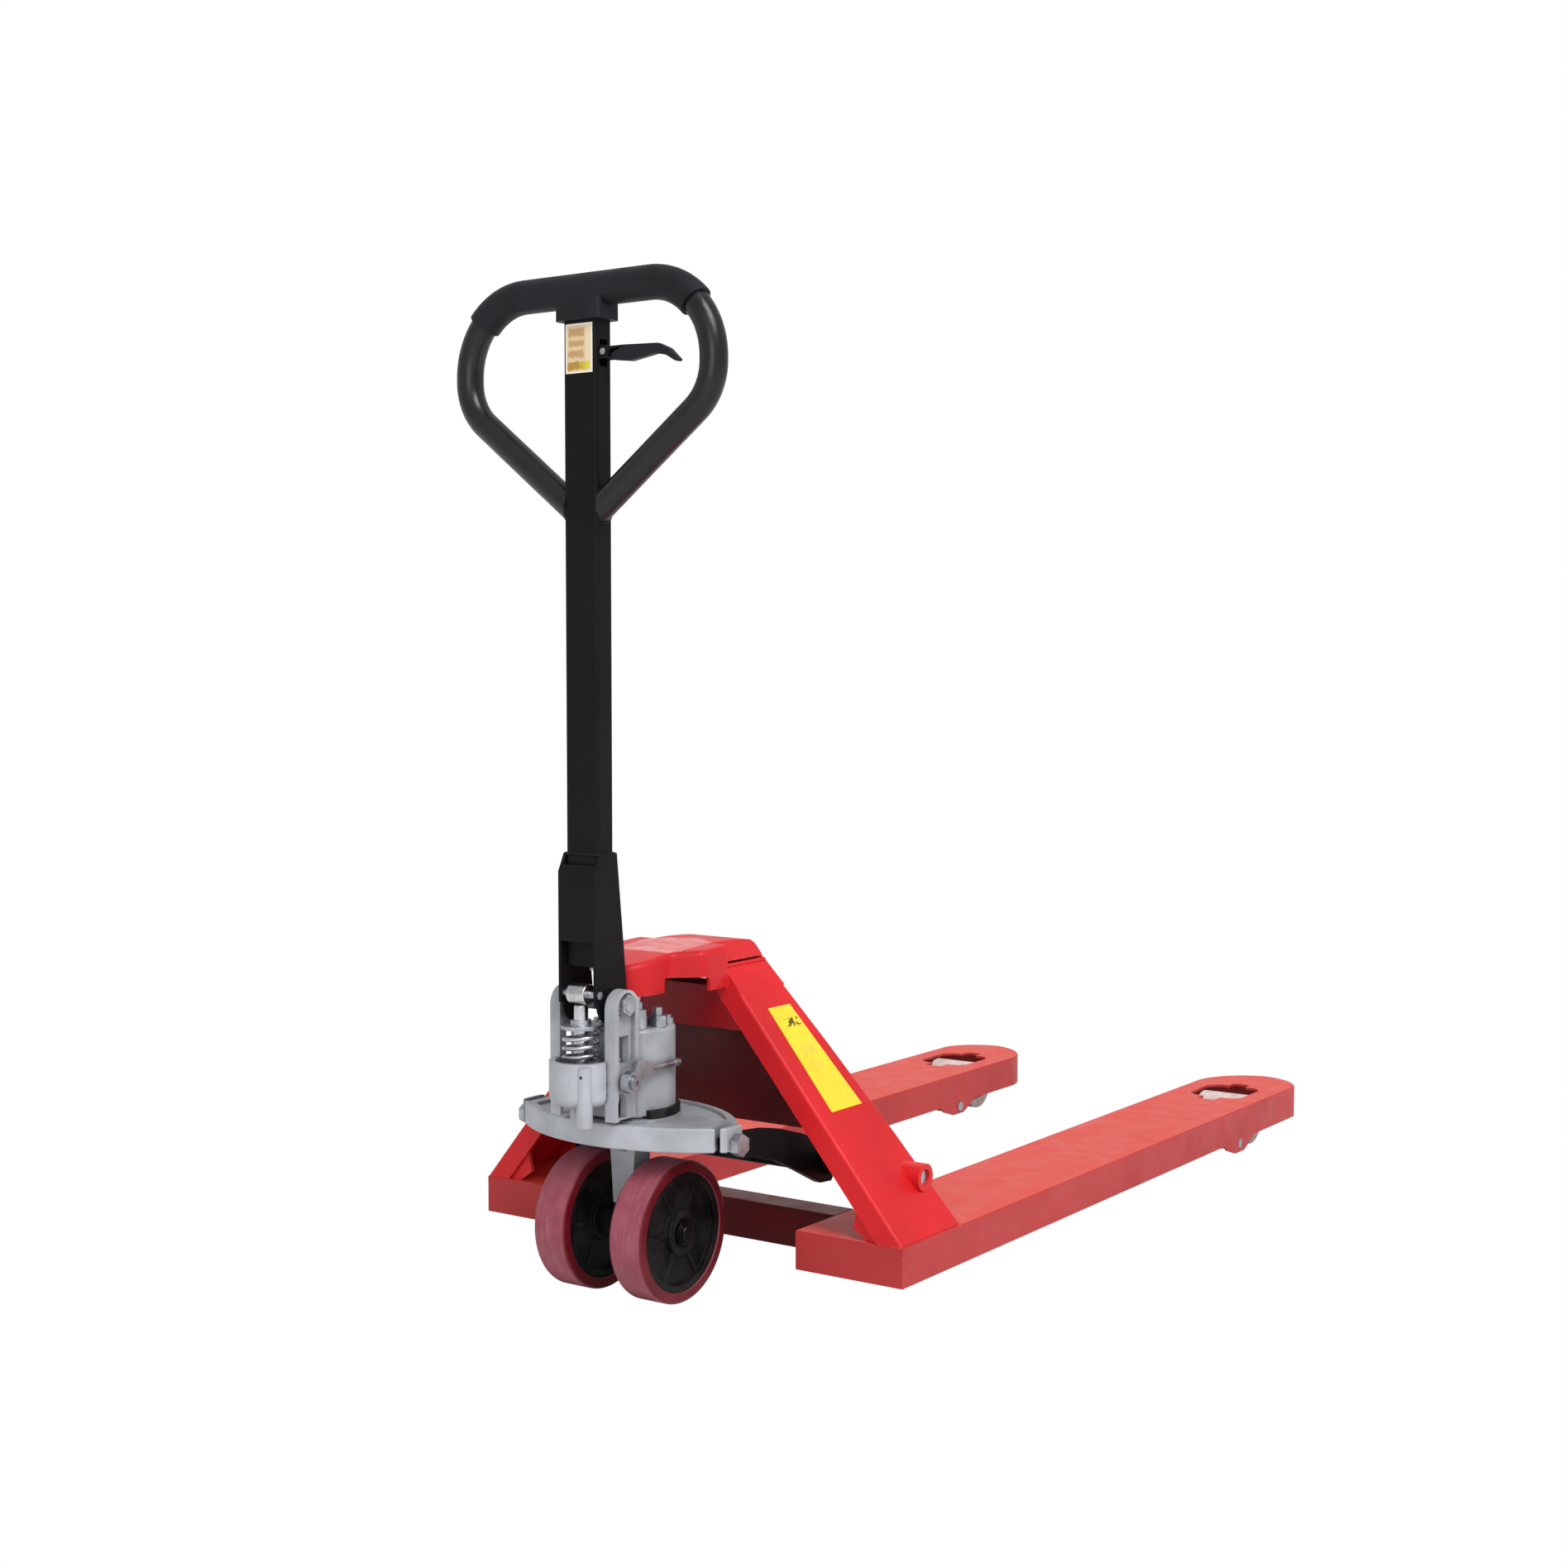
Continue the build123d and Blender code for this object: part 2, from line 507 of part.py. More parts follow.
def axle_carrier():
    """Sleeve under the stem that holds the steering axle."""
    sleeve = bar_x(22, -33, 33, 0, STEER_WHEEL_R) + block(-15, 15, -15, 15, STEER_WHEEL_R, STEM_END_Z)
    return sleeve - bar_x(10, -50, 50, 0, STEER_WHEEL_R)


EAR_OUT_X = 46.0
RIM_OUT_X = 52.0


def ear_right():
    """Cast ear that carries the handle's pivot, with a raised rim round its edge."""
    ear = block(36, EAR_OUT_X, -94, -46, PUMP_BASE + 2, HANDLE_PIVOT_Z - 4)
    ear += bar_x(24, 36, EAR_OUT_X, HANDLE_PIVOT_Y, HANDLE_PIVOT_Z - 5)
    ear += ring_x(24, 17, EAR_OUT_X, RIM_OUT_X, HANDLE_PIVOT_Y, HANDLE_PIVOT_Z - 5)
    ear -= block(EAR_OUT_X, 60, -87, -53, 300, HANDLE_PIVOT_Z - 5)
    ear -= bar_x(15, EAR_OUT_X, 60, HANDLE_PIVOT_Y, HANDLE_PIVOT_Z)
    ear += bar_x(14, EAR_OUT_X, 50, HANDLE_PIVOT_Y, HANDLE_PIVOT_Z)
    ear += block(EAR_OUT_X, RIM_OUT_X, -94, -86, PUMP_BASE + 2, HANDLE_PIVOT_Z - 5)
    ear += block(EAR_OUT_X, RIM_OUT_X, -54, -46, RELEASE_Z + 18, HANDLE_PIVOT_Z - 5)
    ear -= block(30, 60, -82, -60, 310, 345)
    # arched opening over the holding-down bolt
    ear -= bar_x(12, 30, 60, RELEASE_Y, 262) + block(30, 60, RELEASE_Y - 12, RELEASE_Y + 12, PUMP_BASE + 4, 262)
    return ear - bar_x(9, 20, 60, HANDLE_PIVOT_Y, HANDLE_PIVOT_Z)


def handle_ears():
    return group_both_sides(ear_right())


def handle_pivot_pin():
    pin = bar_x(9, -58, 58, HANDLE_PIVOT_Y, HANDLE_PIVOT_Z)
    return pin


def pivot_nuts():
    nut = hexagon_x(24, 50, 57, HANDLE_PIVOT_Y, HANDLE_PIVOT_Z) - bar_x(9, 40, 70, HANDLE_PIVOT_Y, HANDLE_PIVOT_Z)
    spacer = ring_x(14, 9, 30, 36, HANDLE_PIVOT_Y, HANDLE_PIVOT_Z)
    pieces = [nut, spacer, mirror(nut, about=Plane.YZ), mirror(spacer, about=Plane.YZ)]
    return Compound(pieces)


def dust_ring():
    ring = bar_z(PUMP_R + 6, 0, 0, 236, 246) - bar_z(PUMP_R, 0, 0, 230, 250)
    return ring - block(-60, 60, -200, -30, 200, 300)


def ram():
    body = bar_z(RAM_R, 0, 0, 190, 417.5)
    return fillet(body.edges().group_by(Axis.Z)[-1], 5)


def ram_gland():
    gland = bar_z(31, 0, 0, PUMP_TOP, PUMP_TOP + 13)
    gland = chamfer(gland.edges().group_by(Axis.Z)[-1], 3)
    return gland - bar_z(RAM_R + RUNNING, 0, 0, 300, 400)


def pump_fittings():
    """Relief valve, valve cap and filler plug on the reservoir's top."""
    valve = bar_z(10, 37, -27, PUMP_TOP, PUMP_TOP + 16) + hexagon_z(18, 37, -27, PUMP_TOP + 16, PUMP_TOP + 24)
    valve += bar_z(4, 37, -27, PUMP_TOP + 24, PUMP_TOP + 33)
    cap = hexagon_z(22, 44.5, 1, PUMP_TOP, PUMP_TOP + 14) + bar_z(6, 44.5, 1, PUMP_TOP + 14, PUMP_TOP + 24)
    plug = hexagon_z(16, 39, 27, PUMP_TOP, PUMP_TOP + 7) + bar_z(6, 39, 27, PUMP_TOP + 7, PUMP_TOP + 11)
    return Compound([plug, valve, cap])


def gland_bolts():
    bolts = []
    for angle in (95, 150, 205, 250):
        x = 42 * math.cos(math.radians(angle))
        y = 42 * math.sin(math.radians(angle))
        bolts.append(hexagon_z(10, x, y, PUMP_TOP, PUMP_TOP + 6))
    return Compound(bolts)


def plunger_rod():
    rod = bar_z(9, 0, PLUNGER_Y, 284, CAM_Z - CAM_R - GAP)
    return fillet(rod.edges().group_by(Axis.Z)[-1], 2)


def spring_retainer():
    cap = bar_z(25, 0, PLUNGER_Y, SPRING_TOP, SPRING_TOP + 5) + bar_z(13, 0, PLUNGER_Y, SPRING_TOP + 5, 365)
    return cap - bar_z(9, 0, PLUNGER_Y, 340, 380)


SPRING_WIRE_R = 2.8
SPRING_R = 21.0
SPRING_TURNS = 5.5


def plunger_spring():
    """Compression spring between the cup's floor and the retainer."""
    height = SPRING_TOP - CUP_FLOOR - 2 * SPRING_WIRE_R - 0.2
    coil = Helix(height / SPRING_TURNS, height, SPRING_R)
    wire = Plane(origin=coil @ 0, z_dir=coil % 0) * Circle(SPRING_WIRE_R)
    return Pos(0, PLUNGER_Y, CUP_FLOOR + SPRING_WIRE_R + 0.1) * sweep(wire, coil, is_frenet=True)


def steer_axle():
    return chamfer(bar_x(10, -93, 93, 0, STEER_WHEEL_R).edges(), 1.5)


def axle_rings():
    """Washer and retaining ring outside each wheel, and a spacer washer inside it."""
    rings = []
    for x0, x1, outer in ((33.2, 35.6, 17), (86.4, 88.6, 16), (88.6, 90.4, 14)):
        ring = ring_x(outer, 10, x0, x1, 0, STEER_WHEEL_R)
        rings += [ring, mirror(ring, about=Plane.YZ)]
    return Compound(rings)


def wheel_tread_right():
    x0 = STEER_WHEEL_INNER_X
    tread = bar_x(STEER_WHEEL_R, x0, x0 + STEER_WHEEL_WIDTH, 0, STEER_WHEEL_R)
    tread = fillet(tread.edges(), 5)
    return tread - bar_x(76, 0, 200, 0, STEER_WHEEL_R)


def wheel_hub_right():
    """Cast hub: rim, ribbed web and a boss bored for two bearings."""
    x0 = STEER_WHEEL_INNER_X + 2
    x1 = STEER_WHEEL_INNER_X + STEER_WHEEL_WIDTH - 2
    hub = ring_x(76, 67, x0, x1, 0, STEER_WHEEL_R)
    hub += bar_x(68, x0 + 7, x1 - 7, 0, STEER_WHEEL_R)
    hub += bar_x(28, x0 - 1, x1 + 1, 0, STEER_WHEEL_R)
    rib = block(x0 + 4, x1 - 4, 24, 70, -3, 3)
    for turn in range(0, 360, 60):
        hub += Pos(0, 0, STEER_WHEEL_R) * Rot(turn, 0, 0) * rib
    return hub - bar_x(20, 0, 200, 0, STEER_WHEEL_R)


def wheel_bearings_right():
    bore = 10 + RUNNING
    x0 = STEER_WHEEL_INNER_X + 1
    x1 = STEER_WHEEL_INNER_X + STEER_WHEEL_WIDTH - 1
    inner = ring_x(20, bore, x0, x0 + 14, 0, STEER_WHEEL_R)
    outer = ring_x(20, bore, x1 - 14, x1, 0, STEER_WHEEL_R)
    return Compound([inner, outer])


# ---- handle ---------------------------------------------------------------------------------
FOOT_HALF = 29.5
FOOT_TOP = 571.0


def foot_outline(front_inset, over):
    """Side view of the handle's foot; over extends the hollow past the back and both ends."""
    front = -104 + front_inset
    return [(front, 385 - over), (front, 548), (-93 + front_inset * 0.4, FOOT_TOP + over),
            (-60 + over, FOOT_TOP + over), (-40.5 + over, 390 - over)]


def handle_foot():
    """Channel that clasps the shaft and turns on the pump's ears; its web stops above the cam."""
    foot = plate_x(foot_outline(0, 0), -FOOT_HALF, FOOT_HALF)
    foot += bar_x(27, -FOOT_HALF, FOOT_HALF, -72, 385)
    foot -= plate_x(foot_outline(3.5, 60), -SHAFT_HALF_X, SHAFT_HALF_X)
    foot -= block(-SHAFT_HALF_X, SHAFT_HALF_X, -120, 0, 300, 462)
    foot -= bar_x(9 + RUNNING, -50, 50, HANDLE_PIVOT_Y, HANDLE_PIVOT_Z)
    return foot - bar_x(5, -50, 50, CAM_Y, CAM_Z)


def handle_shaft():
    plan = RectangleRounded(2 * SHAFT_HALF_X, 2 * SHAFT_HALF_Y, 5)
    bore = RectangleRounded(2 * SHAFT_HALF_X - 6, 2 * SHAFT_HALF_Y - 6, 3)
    tube = Pos(0, SHAFT_Y, SHAFT_FOOT_Z) * extrude(plan - bore, SHAFT_HEAD_Z - SHAFT_FOOT_Z)
    return tube - block(20, 30, SHAFT_Y - 7, SHAFT_Y + 7, 1166, 1198)


LOOP_SIDE_X = 193.0
LOOP_TOP_Z = 1260.0
LOOP_CORNER_R = 94.0


def handle_loop():
    """One bent tube: up from the shaft on each side, round the shoulders and across the top."""
    corners = [(18, 992), (LOOP_SIDE_X, 1126), (LOOP_SIDE_X, LOOP_TOP_Z)]
    points = corners + [(-x, z) for x, z in reversed(corners)]
    path = FilletPolyline(*[(x, LOOP_Y, z) for x, z in points], radius=[70, LOOP_CORNER_R, LOOP_CORNER_R, 70])
    tube = sweep(Plane(origin=path @ 0, z_dir=path % 0) * Circle(LOOP_TUBE_R), path)
    return tube - block(-SHAFT_HALF_X, SHAFT_HALF_X, LOOP_Y - 30, LOOP_Y + 30, 950, 1100)


def grip_cover():
    """Moulded cover over the top of the loop and the head of the shaft."""
    centre_x = LOOP_SIDE_X - LOOP_CORNER_R
    centre_z = LOOP_TOP_Z - LOOP_CORNER_R
    ends = []
    for angle in (90, 66, 44):
        across = centre_x + LOOP_CORNER_R * math.cos(math.radians(angle))
        ends.append((across, LOOP_Y, centre_z + LOOP_CORNER_R * math.sin(math.radians(angle))))
    right = ThreePointArc(*ends)
    left = ThreePointArc(*[(-x, y, z) for x, y, z in reversed(ends)])
    path = Wire([left.edge(), Line(left @ 1, right @ 0).edge(), right.edge()])
    start = Plane(origin=path @ 0, z_dir=path % 0)
    cover = sweep(start * Circle(LOOP_TUBE_R + 4), path) - sweep(start * Circle(LOOP_TUBE_R), path)
    head = rounded(block(-36, 36, -99, -57, 1222, 1262), Axis.Z, 8)
    head -= bar_x(LOOP_TUBE_R + 2, -60, 60, LOOP_Y, LOOP_TOP_Z)
    head -= block(-SHAFT_HALF_X, SHAFT_HALF_X, SHAFT_Y - SHAFT_HALF_Y, SHAFT_Y + SHAFT_HALF_Y, 1200, 1238)
    return cover + head


def handle_label():
    front = SHAFT_Y - SHAFT_HALF_Y
    return block(-21, 21, front - 0.6, front, 1158, 1218)


def lever_bracket():
    """Two small ears welded to the shaft's side for the control lever."""
    ears = []
    for y0 in (SHAFT_Y - 11, SHAFT_Y + 7.5):
        ear = block(SHAFT_HALF_X, LEVER_PIVOT_X, y0, y0 + 3.5, LEVER_PIVOT_Z - 8, LEVER_PIVOT_Z + 8)
        ear += bar_y(8, LEVER_PIVOT_X, y0, y0 + 3.5, LEVER_PIVOT_Z)
        ears.append(ear - bar_y(4, LEVER_PIVOT_X, -200, 0, LEVER_PIVOT_Z))
    return Compound(ears)


def handle_pins():
    """Pins of the control lever and of the cam roller."""
    lever_pin = bar_y(4, LEVER_PIVOT_X, SHAFT_Y - 12.5, SHAFT_Y + 12.5, LEVER_PIVOT_Z)
    cam_pin = bar_x(5, -FOOT_HALF - 1.5, FOOT_HALF + 1.5, CAM_Y, CAM_Z)
    return Compound([lever_pin, cam_pin])


def control_lever():
    """Bent finger lever; its short inner arm reaches through the shaft's slot to the pull rod."""
    z = LEVER_PIVOT_Z
    outline = [(13, z - 5), (13, z + 4), (30, z + 7), (60, z + 7), (112, z + 5), (128, z - 2), (144, z - 17)]
    outline += [(140, z - 19), (124, z - 10), (108, z - 7), (70, z - 13), (44, z - 10), (30, z - 7)]
    lever = plate_y(outline, SHAFT_Y - 6.5, SHAFT_Y + 6.5) + bar_y(8, LEVER_PIVOT_X, SHAFT_Y - 6.5, SHAFT_Y + 6.5, z)
    return lever - bar_y(4 + RUNNING, LEVER_PIVOT_X, -200, 0, z)


def pull_rod():
    rod = bar_z(3, 6, SHAFT_Y, 425, 1186) + bar_z(6, 6, SHAFT_Y, 1163, 1171)
    return rod + bar_z(6, 6, SHAFT_Y, 425, 433)


def cam_roller():
    roller = fillet(bar_x(CAM_R, -14, 14, CAM_Y, CAM_Z).edges(), 1.5)
    return roller - bar_x(5 + RUNNING, -30, 30, CAM_Y, CAM_Z)


def release_lever():
    """Lever on the right ear that opens the lowering valve: a boss, a bent arm and a round rod."""
    y, z = RELEASE_Y, RELEASE_Z
    hub = bar_x(14, 57, 68, y, z)
    arm = plate_x([(y + 2, z + 8), (y + 8, z + 24), (y + 16, z + 26), (y + 44, z + 17), (y + 46, z + 7),
                   (y + 34, z + 5), (y + 12, z)], 61, 67)
    rod = bar_y(4, 64, y + 40, y + 84, z + 12) + bar_y(5, 64, y + 84, y + 94, z + 12)
    return hub + arm + rod - bar_x(6 + RUNNING, 40, 80, y, z)


def release_spindle():
    spindle = bar_x(6, EAR_OUT_X, 69, RELEASE_Y, RELEASE_Z) + bar_x(8, EAR_OUT_X, 56.6, RELEASE_Y, RELEASE_Z)
    head = bar_x(9, 68.4, 72, RELEASE_Y, RELEASE_Z) - hexagon_x(6, 69.5, 73, RELEASE_Y, RELEASE_Z)
    return spindle + head


MIRRORED = {
    "fork": fork_right,
    "leg": leg_skin_right,
    "push_rod": push_rod_right,
    "load_fork": load_fork_right,
    "load_fork_pins": load_fork_pins_right,
    "load_roller": load_roller_right,
    "load_bearings": load_bearings_right,
    "wheel_tread": wheel_tread_right,
    "wheel_hub": wheel_hub_right,
    "wheel_bearings": wheel_bearings_right,
}

SINGLE = [
    rocker_pins, cross_beam, backrest_plate, neck_plate, hood, ram_socket, load_axles, leg_label, axle_carrier,
    rocker_frame, rod_pins, bearing_plate, plate_pins, thrust_bearing, pump_casting, handle_ears,
    handle_pivot_pin, pivot_nuts, dust_ring, ram, ram_gland, pump_fittings, gland_bolts, plunger_rod,
    spring_retainer, plunger_spring, steer_axle, axle_rings, handle_foot, handle_shaft, handle_loop,
    grip_cover, handle_label, lever_bracket, handle_pins, control_lever, pull_rod, cam_roller,
    release_lever, release_spindle,
]

os.makedirs("parts", exist_ok=True)
for name, make in MIRRORED.items():
    for side, piece in both_sides(make()).items():
        save(f"{name}_{side}", piece)
for make in SINGLE:
    save(make.__name__, make())
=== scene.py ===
import json
import math
import random

import bmesh
import bpy
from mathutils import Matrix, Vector


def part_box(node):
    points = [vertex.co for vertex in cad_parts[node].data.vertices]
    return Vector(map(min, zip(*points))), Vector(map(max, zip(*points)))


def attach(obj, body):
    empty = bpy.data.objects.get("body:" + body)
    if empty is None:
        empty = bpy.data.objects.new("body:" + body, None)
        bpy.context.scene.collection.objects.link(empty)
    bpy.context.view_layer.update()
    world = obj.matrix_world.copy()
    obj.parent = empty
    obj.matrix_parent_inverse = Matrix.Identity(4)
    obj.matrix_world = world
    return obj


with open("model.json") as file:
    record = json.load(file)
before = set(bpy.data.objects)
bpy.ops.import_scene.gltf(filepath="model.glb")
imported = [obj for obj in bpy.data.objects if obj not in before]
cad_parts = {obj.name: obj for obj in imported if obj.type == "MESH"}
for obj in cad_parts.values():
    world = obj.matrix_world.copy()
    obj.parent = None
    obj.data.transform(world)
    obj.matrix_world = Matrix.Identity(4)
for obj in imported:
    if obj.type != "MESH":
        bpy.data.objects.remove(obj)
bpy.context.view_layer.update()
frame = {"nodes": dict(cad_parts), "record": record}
NODES = frame["nodes"]
MM = 0.001

# Hand pallet jack. Metres; +Y runs to the fork tips, +X to the right fork, +Z up, Z = 0 is the floor.
random.seed(4)


# ---- node helpers ---------------------------------------------------------------------------
class Shader:
    """A material under construction: short calls that add and link nodes."""

    def __init__(self, name):
        self.material = bpy.data.materials.new(name)
        self.material.use_nodes = True
        self.tree = self.material.node_tree
        self.surface = self.tree.nodes["Principled BSDF"]
        self.position = self.node("ShaderNodeTexCoord").outputs["Object"]

    @classmethod
    def reopen(cls, material):
        """Go on with a finished material, to draw something over it."""
        made = cls.__new__(cls)
        made.material, made.tree = material, material.node_tree
        made.surface = made.tree.nodes["Principled BSDF"]
        made.position = made.node("ShaderNodeTexCoord").outputs["Object"]
        return made

    def node(self, kind, **settings):
        made = self.tree.nodes.new(kind)
        for key, value in settings.items():
            setattr(made, key, value)
        return made

    def link(self, source, target):
        self.tree.links.new(source, target)

    def put(self, value, target):
        """Set a socket to a value, or link it where the value is another node's output."""
        if isinstance(value, bpy.types.NodeSocket):
            self.link(value, target)
        else:
            target.default_value = value

    def stretched(self, scale, turn=(0, 0, 0)):
        mapping = self.node("ShaderNodeMapping")
        mapping.inputs["Scale"].default_value = scale
        mapping.inputs["Rotation"].default_value = turn
        self.link(self.position, mapping.inputs["Vector"])
        return mapping.outputs["Vector"]

    def noise(self, scale, detail=4.0, rough=0.55, vector=None):
        made = self.node("ShaderNodeTexNoise")
        made.inputs["Scale"].default_value = scale
        made.inputs["Detail"].default_value = detail
        made.inputs["Roughness"].default_value = rough
        self.link(vector or self.position, made.inputs["Vector"])
        return made.outputs["Fac"]

    def cells(self, scale, vector=None):
        made = self.node("ShaderNodeTexVoronoi")
        made.inputs["Scale"].default_value = scale
        self.link(vector or self.position, made.inputs["Vector"])
        return made.outputs["Distance"]

    def ramp(self, value, low, high, low_out=0.0, high_out=1.0):
        made = self.node("ShaderNodeMapRange")
        made.inputs["From Min"].default_value = low
        made.inputs["From Max"].default_value = high
        made.inputs["To Min"].default_value = low_out
        made.inputs["To Max"].default_value = high_out
        self.link(value, made.inputs["Value"])
        return made.outputs["Result"]

    def math(self, operation, a, b=0.0):
        made = self.node("ShaderNodeMath", operation=operation)
        self.put(a, made.inputs[0])
        self.put(b, made.inputs[1])
        return made.outputs[0]

    def mix(self, share, a, b):
        made = self.node("ShaderNodeMix", data_type="RGBA")
        self.put(share, made.inputs["Factor"])
        self.put(a, made.inputs["A"])
        self.put(b, made.inputs["B"])
        return made.outputs["Result"]

    def axis(self, vector, name):
        made = self.node("ShaderNodeSeparateXYZ")
        self.link(vector, made.inputs[0])
        return made.outputs[name]

    def normal(self):
        return self.node("ShaderNodeNewGeometry").outputs["True Normal"]

    def edges(self, radius, low=0.02, high=0.25):
        """1 along the convex and concave edges of the mesh, 0 on its faces."""
        rounded = self.node("ShaderNodeBevel", samples=4)
        rounded.inputs["Radius"].default_value = radius
        dot = self.node("ShaderNodeVectorMath", operation="DOT_PRODUCT")
        self.link(rounded.outputs[0], dot.inputs[0])
        self.link(self.node("ShaderNodeNewGeometry").outputs["Normal"], dot.inputs[1])
        return self.ramp(self.math("SUBTRACT", 1.0, dot.outputs["Value"]), low, high)

    def bump(self, height, strength, distance):
        made = self.node("ShaderNodeBump")
        made.inputs["Strength"].default_value = strength
        made.inputs["Distance"].default_value = distance
        self.link(height, made.inputs["Height"])
        self.link(made.outputs["Normal"], self.surface.inputs["Normal"])

    def finish(self, colour, roughness, metallic=0.0, specular=0.5, coat=0.0, coat_rough=0.1):
        self.put(colour, self.surface.inputs["Base Color"])
        self.put(roughness, self.surface.inputs["Roughness"])
        self.surface.inputs["Metallic"].default_value = metallic
        self.surface.inputs["Specular IOR Level"].default_value = specular
        self.surface.inputs["Coat Weight"].default_value = coat
        self.surface.inputs["Coat Roughness"].default_value = coat_rough
        return self.material


def srgb(text):
    """Linear colour of a hex display colour."""
    values = [int(text[i:i + 2], 16) / 255 for i in (0, 2, 4)]
    linear = [v / 12.92 if v <= 0.04045 else ((v + 0.055) / 1.055) ** 2.4 for v in values]
    return (*linear, 1.0)


# ---- materials ------------------------------------------------------------------------------
def red_paint(name, base, shade, top, scratched=False):
    """Gloss enamel on folded sheet: uneven depth of colour, orange peel, chipped, worn edges with a painted
    highlight along them, and a painted highlight on the faces that look up.
    """
    s = Shader(name)
    patches = s.noise(7.0, 3.0)
    colour = s.mix(s.ramp(patches, 0.35, 0.65), srgb(shade), srgb(base))
    # painted highlight: faces that look up are blended to the lighter top colour; on the forks the same mask
    # also places the real scuffs and dull wear
    top_highlight_and_wear = s.ramp(s.axis(s.normal(), "Z"), 0.75, 0.98)
    colour = s.mix(top_highlight_and_wear, colour, srgb(top))
    if scratched:
        # pallets drag along the tops, so the scuffs are long and run with the fork
        streaks = s.noise(1.0, 6.0, 0.7, s.stretched((95.0, 3.2, 40.0)))
        wide = s.noise(1.0, 2.0, 0.5, s.stretched((16.0, 2.4, 16.0)))
        scuff = s.math("MULTIPLY", s.ramp(streaks, 0.55, 0.72), s.ramp(wide, 0.45, 0.62))
        scuff = s.math("MULTIPLY", scuff, top_highlight_and_wear)
        colour = s.mix(s.math("MULTIPLY", scuff, 0.55), colour, srgb("f6937c"))
        dull = s.math("MULTIPLY", s.ramp(wide, 0.3, 0.7), s.math("MULTIPLY", top_highlight_and_wear, 0.35))
        colour = s.mix(dull, colour, srgb("d9483a"))
    # pale edges: partly worn paint, partly a painted highlight along the edges
    pale_edges = s.math("MULTIPLY", s.edges(0.0022), s.ramp(s.noise(60.0, 5.0, 0.7), 0.50, 0.66))
    colour = s.mix(s.math("MULTIPLY", pale_edges, 0.55), colour, srgb("f0a294"))
    speck = s.math("LESS_THAN", s.cells(240.0), 0.06)
    speck = s.math("MULTIPLY", speck, s.ramp(s.noise(14.0), 0.56, 0.66))
    colour = s.mix(s.math("MULTIPLY", speck, 0.45), colour, srgb("7c1416"))
    s.bump(s.noise(420.0, 2.0), 0.10, 0.0004)
    rough = s.ramp(s.noise(30.0, 4.0), 0.3, 0.7, 0.34, 0.50)
    return s.finish(colour, rough, specular=0.22, coat=0.06, coat_rough=0.3)


def black_paint(name, base, haze, specular=0.25, gloss=0.38):
    """Powder coat: very fine texture, a little dust and rubbed edges."""
    s = Shader(name)
    colour = s.mix(s.ramp(s.noise(9.0, 4.0), 0.35, 0.7), srgb(base), srgb(haze))
    rubbed = s.math("MULTIPLY", s.edges(0.0016), s.ramp(s.noise(90.0, 5.0, 0.7), 0.46, 0.62))
    colour = s.mix(s.math("MULTIPLY", rubbed, 0.5), colour, srgb("4c4c50"))
    scratch = s.noise(1.0, 5.0, 0.7, s.stretched((160.0, 160.0, 5.0), (0.0, 0.12, 0.0)))
    colour = s.mix(s.ramp(scratch, 0.66, 0.8, 0.0, 0.25), colour, srgb("3c3c40"))
    s.bump(s.noise(900.0, 2.0), 0.12, 0.0003)
    return s.finish(colour, s.ramp(s.noise(40.0), 0.3, 0.7, gloss, gloss + 0.14), specular=specular)


def silver_paint():
    """Grey enamel sprayed over a rough sand casting, darker in patches in its hollows and corners."""
    s = Shader("silver_paint")
    colour = s.mix(s.ramp(s.noise(16.0, 5.0), 0.3, 0.7), srgb("909296"), srgb("b2b6bc"))
    # darker in patches where the casting's hollows and corners are occluded
    hollow = s.node("ShaderNodeAmbientOcclusion", samples=6)
    hollow.inputs["Distance"].default_value = 0.018
    hollow_dark = s.ramp(hollow.outputs["AO"], 0.25, 0.85, 1.0, 0.0)
    hollow_dark = s.math("MULTIPLY", hollow_dark, s.ramp(s.noise(70.0, 5.0), 0.3, 0.6))
    colour = s.mix(s.math("MULTIPLY", hollow_dark, 0.75), colour, srgb("4a4744"))
    chipped = s.math("MULTIPLY", s.edges(0.0018), s.ramp(s.noise(80.0, 5.0, 0.7), 0.52, 0.66))
    colour = s.mix(s.math("MULTIPLY", chipped, 0.6), colour, srgb("77716c"))
    sand = s.math("ADD", s.noise(260.0, 4.0, 0.65), s.math("MULTIPLY", s.noise(55.0, 2.0), 0.6))
    s.bump(sand, 0.28, 0.0009)
    return s.finish(colour, s.ramp(s.noise(45.0), 0.3, 0.7, 0.38, 0.58), metallic=0.15, specular=0.5)


def plated_steel(name, pale, dark, roughness, grain=(300.0, 300.0, 18.0)):
    """Turned or rolled steel under plating: fine tool marks and cloudy passivation."""
    s = Shader(name)
    cloud = s.ramp(s.noise(48.0, 5.0), 0.3, 0.7)
    colour = s.mix(cloud, srgb(dark), srgb(pale))
    marks = s.noise(1.0, 3.0, 0.6, s.stretched(grain))
    colour = s.mix(s.ramp(marks, 0.45, 0.75, 0.0, 0.45), colour, srgb(dark))
    spots = s.math("LESS_THAN", s.cells(330.0), 0.10)
    spots = s.math("MULTIPLY", spots, s.ramp(s.noise(30.0), 0.52, 0.62))
    colour = s.mix(s.math("MULTIPLY", spots, 0.5), colour, srgb("5b4a3c"))
    s.bump(marks, 0.12, 0.0003)
    return s.finish(colour, s.ramp(cloud, 0.0, 1.0, roughness, roughness + 0.14), metallic=1.0)


